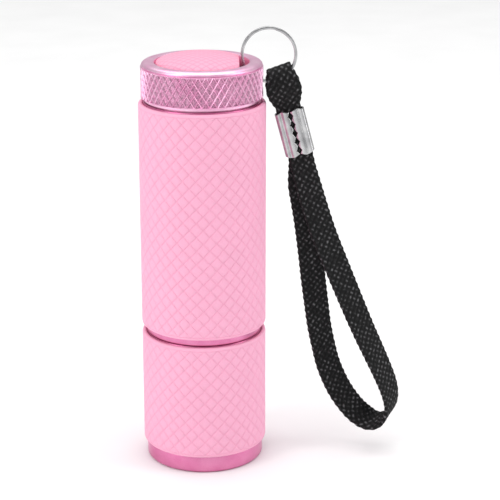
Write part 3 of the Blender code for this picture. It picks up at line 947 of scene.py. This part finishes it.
def build_cap():
    cap = diamond_wall(
        "tail_cap_body", KNURL_R, KNURL_LOW, KNURL_LOW + KNURL_FIELD,
        KNURL_COLUMNS, KNURL_ROWS, KNURL_RIDGE,
    )
    cut_off((0, 0, KNURL_HIGH), (0, 0, 1))
    bpy.ops.object.mode_set(mode="OBJECT")
    settle_diamonds(cap, KNURL_R - PIT, -PIT, 0.0)
    carry_on(cap, KNURL_HIGH, [
        (KNURL_R, KNURL_HIGH), (12.62, 87.5), (12.5, 87.56), (12.52, 87.66), (12.68, 87.72),
        (12.73, 87.82), (12.68, 87.98), (12.5, 88.2), (12.2, 88.38), (11.8, 88.5), (11.2, 88.54),
        (10.7, 88.53), (10.3, 88.48), (10.05, 88.36), (9.95, 88.15), (9.95, 84.2), (3.8, 84.2),
        (3.8, 83.0), (10.2, 83.0), (10.2, 75.1), (11.05, 74.8), (11.05, 70.7), (11.15, 70.6),
    ])
    carry_on(cap, KNURL_LOW, [
        (KNURL_R, KNURL_LOW), (12.62, 80.98), (12.35, 80.95), (12.25, 80.88), (12.25, 80.45),
        (12.15, 80.35), (11.7, 80.3), (11.7, 79.35), (11.65, 79.3), (10.95, 79.3), (10.95, 78.2),
        (11.6, 78.2), (11.7, 78.15), (11.7, 77.85), (ROOT_R, 77.7),
    ] + thread_steps(ROOT_R, 77.6, 71.2) + [(ROOT_R, 70.85), (11.35, 70.6)])
    close_ends(cap, True)
    face_outwards()
    raise_thread(cap, ROOT_R, 71.2, 77.6, RIDGE)
    return cap


tail_cap_body = build_cap()

# %% [markdown]
# The split ring passes through a hole drilled at a slant from the top of the rim to its side. A
# Boolean with a cylinder does what the drill does, and the cylinder is then thrown away.

# %% Drill the lanyard hole
def drill(piece, start, end, radius):
    object_mode()
    line = (Vector(end) - Vector(start)) * MM
    middle = (Vector(end) + Vector(start)) / 2 * MM
    bpy.ops.mesh.primitive_cylinder_add(
        vertices=40, radius=radius * MM, depth=line.length, location=middle,
        rotation=line.to_track_quat("Z", "Y").to_euler(),
    )
    bit = bpy.context.object
    cut = piece.modifiers.new("drill", "BOOLEAN")
    cut.operation, cut.solver, cut.object = "DIFFERENCE", "EXACT", bit
    apply_all(piece)
    bpy.data.objects.remove(bit, do_unlink=True)


HOLE_IN, HOLE_OUT, HOLE_R = (8.0, 0, 87.6), (14.2, 0, 82.6), 1.35
drill(tail_cap_body, HOLE_IN, HOLE_OUT, HOLE_R)
soften(tail_cap_body, 0, smooth=33.0)
knurled_pink = anodised("knurled_pink_aluminium", paint(244, 180, 216), paint(254, 214, 237), 0.26)
pit = knurled_pink.signal(knurled_pink.add("Attribute", {"attribute_name": "lift"}))
sparkle = knurled_pink.noise(0.3, detail=4.0)
bright = knurled_pink.shader.inputs["Base Color"].links[0].from_socket
# Painted shade in the knurl's pits: this dark ramp, with lighter painted glints from the sparkle
# noise, is mixed in by the pit mask, so the ridges stay paler
dark = knurled_pink.ramp(sparkle, [(0.35, paint(104, 40, 74)), (0.65, paint(226, 150, 190))])
knurled_pink.shader.inputs["Metallic"].default_value = 0.8
knurled_pink.feed("Base Color", knurled_pink.mix(pit * 0.7, bright, dark))
knurled_pink.feed("Roughness", 0.3 + sparkle * 0.14 + pit * 0.1)
fit_piece(tail_cap_body, knurled_pink, "tail_cap", "tail_cap")

# %% [markdown]
# ## Button boot
# A soft cap of the same rubber covers the push button. It is a shallow dome, cut straight on the
# side of the ring so that the drilled hole stays clear. A fine diamond texture gives a grip.

# %% Turn the boot and cut its flat
BOOT_FLAT = 7.75
boot = turned(
    "button_boot_cap",
    [(0.4, 89.29), (4.6, 88.95), (6.9, 88.3), (6.9, 86.3), (9.65, 86.3), (9.7, 86.4), (9.7, 88.0),
     (9.66, 88.2), (9.52, 88.42), (9.3, 88.6), (8.85, 88.83), (8.2, 89.07), (7.2, 89.36),
     (6.0, 89.62), (4.6, 89.84), (3.2, 89.98), (1.6, 90.07), (0.4, 90.1)],
    sides=96,
    tube=False,
)
cut_off((BOOT_FLAT, 0, 0), (1, 0, 0), fill=True)
face_outwards()
soften(boot, 0.15, 2, angle=50.0, smooth=40.0)
boot_rubber = Finish("textured_pink_rubber", rough=0.6)
coords = boot_rubber.add("SeparateXYZ", inputs={"Vector": boot_rubber.place()})
along_x = boot_rubber.signal(coords, "X")
along_y = boot_rubber.signal(coords, "Y")
WAVE_PER_MM = 1.7
one_way = ((along_x + along_y) * WAVE_PER_MM).wave()
other_way = ((along_x - along_y) * WAVE_PER_MM).wave()
weave = boot_rubber.between((one_way * one_way).at_most(other_way * other_way), 0.0, 0.16)
grain = boot_rubber.noise(0.18)
# Painted shade: the base colour is darker along the lines of the diamond texture, where weave is
# low
boot_rubber.feed(
    "Base Color",
    boot_rubber.ramp(weave * 0.7 + grain * 0.3,
                     [(0.2, paint(242, 148, 178)), (0.8, paint(249, 167, 192))]),
)
boot_rubber.feed("Roughness", 0.55 + grain * 0.15)
boot_rubber.bump(weave * 0.9 + grain * 0.1, 0.05, 0.5)
fit_piece(boot, boot_rubber, "button", "button_boot")

# %% [markdown]
# ## Springs
# Three steel springs keep the contacts closed: a cone in the head, a small one on the switch and
# a plain one under the button. The Screw modifier winds a cylinder, so each turn is then moved
# out to its own radius, and the two end turns are laid flat as on a ground spring.

# %% Wind the springs
def wind_spring(name, radii, low, high, turns, wire):
    object_mode()
    bpy.ops.mesh.primitive_circle_add(
        vertices=10, radius=wire * MM, location=(radii[0] * MM, 0, 0),
        rotation=(math.pi / 2, 0, 0),
    )
    spring = bpy.context.object
    spring.name = spring.data.name = name
    bpy.ops.object.transform_apply(location=True, rotation=True, scale=True)
    steps = round(turns * 28)
    wind(spring, turns * 360.0, 0.0, steps)
    for vert in spring.data.vertices:
        share = (vert.index // 10) / steps
        climb = min(1.0, max(0.0, (share * turns - 0.5) / (turns - 1.0)))
        flat = vert.co.xy.length
        grow = (flat + (radii[1] - radii[0]) * share * MM) / flat
        vert.co.x *= grow
        vert.co.y *= grow
        vert.co.z += (low + (high - low) * climb) * MM
    point_outwards(spring)
    bpy.ops.object.shade_smooth_by_angle(angle=math.radians(50.0))
    return spring


spring_steel = Finish("spring_steel", metal=1.0, rough=0.28)
drawn = spring_steel.noise(0.5, detail=3.0)
spring_steel.feed(
    "Base Color", spring_steel.ramp(drawn, [(0.3, (0.50, 0.49, 0.46)), (0.7, (0.72, 0.71, 0.68))])
)
spring_steel.feed("Roughness", 0.2 + drawn * 0.2)
for name, body, radii, low, high, turns, wire in (
    ("head_spring", "head", (4.8, 2.0), 14.95, 22.45, 5.0, 0.3),
    ("tail_spring", "tail_cap", (2.6, 4.0), 74.85, 76.3, 2.6, 0.24),
    ("return_spring", "tail_cap", (4.9, 4.9), 84.6, 87.0, 2.8, 0.28),
):
    spring = wind_spring(name + "_wire", radii, low, high, turns, wire)
    fit_piece(spring, spring_steel, body, name)
    if name == "return_spring":
        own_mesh(spring)

# %% [markdown]
# ## Lens, LEDs and cells
# What repeats is modelled once: one LED and one cell. Each is turned on the axis, copied with its
# own mesh, and moved to its place. The LED's epoxy is clear, so it has a cup and a post inside.

# %% Copy helper
def place_copies(pattern, finish, body, places):
    """A copy of the pattern at each (node or None, matrix), then the pattern is removed."""
    for number, (node, matrix) in enumerate(places, 1):
        copy = pattern.copy()
        copy.data = pattern.data.copy()
        copy.name = copy.data.name = f"{pattern.name}_{number}"
        bpy.context.scene.collection.objects.link(copy)
        copy.data.transform(matrix)
        fit_piece(copy, finish, body, *([node] if node else []))
    bpy.data.objects.remove(pattern, do_unlink=True)


# %% Lens and LEDs
lens = turned(
    "clear_lens",
    [(0.4, 1.97), (5.0, 1.93), (9.0, 1.84), (11.1, 1.76), (11.3, 1.9), (11.3, 3.38),
     (11.18, 3.5), (0.4, 3.5)],
    tube=False,
)
soften(lens, 0, smooth=30.0)
clear = Finish("clear_polycarbonate", rough=0.04, Transmission_Weight=1.0, IOR=1.58)
haze = clear.noise(3.0)
clear.feed("Base Color", clear.ramp(haze, [(0.3, (0.96, 0.97, 0.98)), (0.7, (1.0, 1.0, 1.0))]))
clear.feed("Roughness", 0.02 + haze * 0.05)
fit_piece(lens, clear, "head", "lens")

LED_R, OUTER_LEDS, LED_RING_R = 2.45, 8, 7.3
dome = [
    (LED_R * math.cos(math.radians(d)), 7.3 - 2.4 * math.sin(math.radians(d)))
    for d in (80, 65, 50, 36, 23, 11, 0)
]
led = turned(
    "led_epoxy",
    dome + [(LED_R, 12.05), (2.52, 12.1), (2.66, 12.15), (2.68, 12.25), (2.68, 12.95),
            (2.6, 13.1), (0.4, 13.1)],
    sides=40, tube=False,
)
soften(led, 0, smooth=40.0)
epoxy = Finish("violet_clear_epoxy", rough=0.03, Transmission_Weight=0.92, IOR=1.53)
cloud = epoxy.noise(1.5)
epoxy.feed("Base Color", epoxy.ramp(cloud, [(0.3, (0.86, 0.84, 0.97)), (0.7, (0.94, 0.92, 1.0))]))
epoxy.feed("Roughness", 0.02 + cloud * 0.05)
ways = [math.tau * k / OUTER_LEDS for k in range(OUTER_LEDS)]
spots = [(0.0, 0.0)] + [(LED_RING_R * math.cos(a), LED_RING_R * math.sin(a)) for a in ways]
moves = [Matrix.Translation((x * MM, y * MM, 0)) for x, y in spots]
place_copies(led, epoxy, "head", [(f"uv_led_{k + 1}", m) for k, m in enumerate(moves)])

cup = turned(
    "led_cup",
    [(0.2, 8.1), (0.45, 8.1), (0.95, 7.45), (1.08, 7.42), (1.12, 7.6), (0.9, 8.6), (0.45, 8.9),
     (0.3, 9.0), (0.3, 12.9), (0.2, 12.95)],
    sides=24, tube=False,
)
soften(cup, 0, smooth=35.0)
place_copies(cup, spring_steel, "head", [(None, m) for m in moves])

# %% [markdown]
# A cell has a shrunk plastic wrapper that folds over both ends and leaves the bare steel of the
# raised positive cap and of the flat negative end. The wrapper is plain, with no printing.

# %% Cells
CELL_LOW, CELL_LONG, CELL_RING_R = 26.9, 44.5, 5.86
cell = turned(
    "aaa_cell",
    [(0.4, 0.0), (1.7, 0.0), (1.87, 0.08), (1.9, 0.2), (1.9, 0.88), (2.1, 0.93), (3.6, 0.93),
     (3.75, 0.88), (4.5, 0.9), (4.85, 1.05), (5.0, 1.35), (5.0, 2.1), (4.93, 2.3), (4.93, 2.5),
     (5.0, 2.7), (5.0, 44.05), (4.85, 44.32), (4.55, 44.45), (3.9, 44.45), (3.8, 44.4),
     (3.7, 44.3), (0.4, 44.3)],
    sides=48, tube=False,
)
soften(cell, 0, smooth=35.0)
wrapper = Finish("cell_wrapper_film", rough=0.3, Coat_Roughness=0.1)
film = wrapper.noise(2.0, detail=3.0)
blues = [(0.3, paint(38, 76, 132)), (0.7, paint(52, 96, 158))]
wrapper.feed("Base Color", wrapper.ramp(film, blues))
wrapper.feed("Roughness", 0.22 + film * 0.16)
wrapper.feed("Coat Weight", 0.3 + film * 0.3)
wrapper.on(cell)
cell.data.materials.append(spring_steel.material)
for face in cell.data.polygons:
    height, out = face.center.z / MM, face.center.xy.length / MM
    if (height < 0.95 and out < 3.65) or (height > 44.2 and out < 3.85):
        face.material_index = 1
turn_over = Matrix.Translation((0, 0, CELL_LONG * MM)) @ Matrix.Rotation(math.pi, 4, "X")
cell_places = []
for k, angle in enumerate((90.0, 210.0, 330.0)):
    way = math.radians(angle)
    at = Vector((CELL_RING_R * math.cos(way), CELL_RING_R * math.sin(way), CELL_LOW))
    move = Matrix.Translation(at * MM)
    cell_places.append((f"battery_{k + 1}", move @ turn_over if k == 1 else move))
place_copies(cell, None, "barrel", cell_places)

# %% [markdown]
# ## Finishes of the inner parts
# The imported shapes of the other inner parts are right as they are, so they keep their meshes and
# only get better finishes in their material slots.

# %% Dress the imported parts
def dress(finish, *nodes):
    for node in nodes:
        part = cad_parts[node]
        if not part.material_slots:
            part.data.materials.append(finish.material)
        for place in part.material_slots:
            place.material = finish.material
    print(finish.material.name, "on", ", ".join(nodes))


def speckled(name, dark, light, lump, rough, metal=0.0, depth=0.02, **fixed):
    """A finish whose colour and gloss drift over lumps of one size."""
    made = Finish(name, rough=rough, metal=metal, **fixed)
    drift = made.noise(lump, detail=4.0)
    made.feed("Base Color", made.ramp(drift, [(0.35, dark), (0.65, light)]))
    made.feed("Roughness", rough - 0.06 + drift * 0.12)
    made.bump(made.noise(lump / 4, detail=3.0), depth, 0.4)
    return made


black_rubber = speckled("black_rubber", (0.012, 0.012, 0.013), (0.03, 0.03, 0.032), 0.8, 0.5)
dress(black_rubber, "head_oring", "tail_oring", "lens_gasket")
mirror = speckled("bright_reflector", (0.84, 0.85, 0.88), (0.93, 0.94, 0.96), 5.0, 0.12, 1.0, 0.004)
dress(mirror, "led_reflector")
circuit = speckled("green_circuit_board", paint(18, 74, 40), paint(30, 98, 54), 1.6, 0.35)
dress(circuit, "led_board", "switch_board")
bare = speckled("bare_aluminium", (0.60, 0.61, 0.63), (0.76, 0.77, 0.79), 1.2, 0.32, 1.0)
dress(bare, "led_retainer", "switch_retainer")
nylon = speckled("black_moulded_plastic", (0.014, 0.014, 0.016), (0.035, 0.035, 0.038), 0.9, 0.42)
dress(nylon, "battery_holder", "switch_housing")
natural = speckled("natural_acetal", paint(222, 221, 214), paint(236, 235, 230), 2.0, 0.4)
dress(natural, "button_plunger")
brass = speckled("brass_contact", (0.66, 0.48, 0.20), (0.84, 0.66, 0.34), 0.9, 0.26, 1.0)
dress(brass, "front_terminal", "front_link", "rear_terminal", "rear_link")

# %% [markdown]
# ## Floor and light
# The lamp stands on a plain pale floor that fills the view. A wide soft light overhead lights the
# floor, a tall softbox on the left draws the bright line down the metal, and a weaker one on the
# right opens up the shadow side.

# %% Floor
object_mode()
bpy.ops.mesh.primitive_plane_add(size=5.0, location=(0, 0, 0))
floor = bpy.context.object
floor.name = floor.data.name = "studio_floor"
paper = Finish("pale_paper", rough=0.9)
pulp = paper.noise(30.0)
paper.feed("Base Color", paper.ramp(pulp, [(0.3, (0.90, 0.90, 0.90)), (0.7, (0.93, 0.93, 0.93))]))
paper.on(floor)
print("floor laid")

# %% Lights
def softbox(name, where, aim, width, height, power):
    data = bpy.data.lights.new(name, "AREA")
    data.shape, data.size, data.size_y, data.energy = "RECTANGLE", width, height, power
    light = bpy.data.objects.new(name, data)
    light.location = where
    light.rotation_euler = (Vector(aim) - Vector(where)).to_track_quat("-Z", "Y").to_euler()
    bpy.context.scene.collection.objects.link(light)
    return light


softbox("overhead", (0.0, 0.1, 1.1), (0, 0, 0), 1.4, 1.4, 12.0)
softbox("tall_left", (-0.55, -0.35, 0.35), (0, 0, 0.05), 0.32, 0.7, 2.0)
softbox("tall_right", (0.65, -0.15, 0.35), (0, 0, 0.05), 0.25, 0.7, 1.6)
world = bpy.data.worlds.new("studio")
bpy.context.scene.world = world
world.use_nodes = True
sky = world.node_tree.nodes["Background"]
sky.inputs["Color"].default_value = (1, 1, 1, 1)
sky.inputs["Strength"].default_value = 0.40
bpy.context.scene.view_settings.view_transform = "Standard"
print("lights:", len(bpy.data.lights))
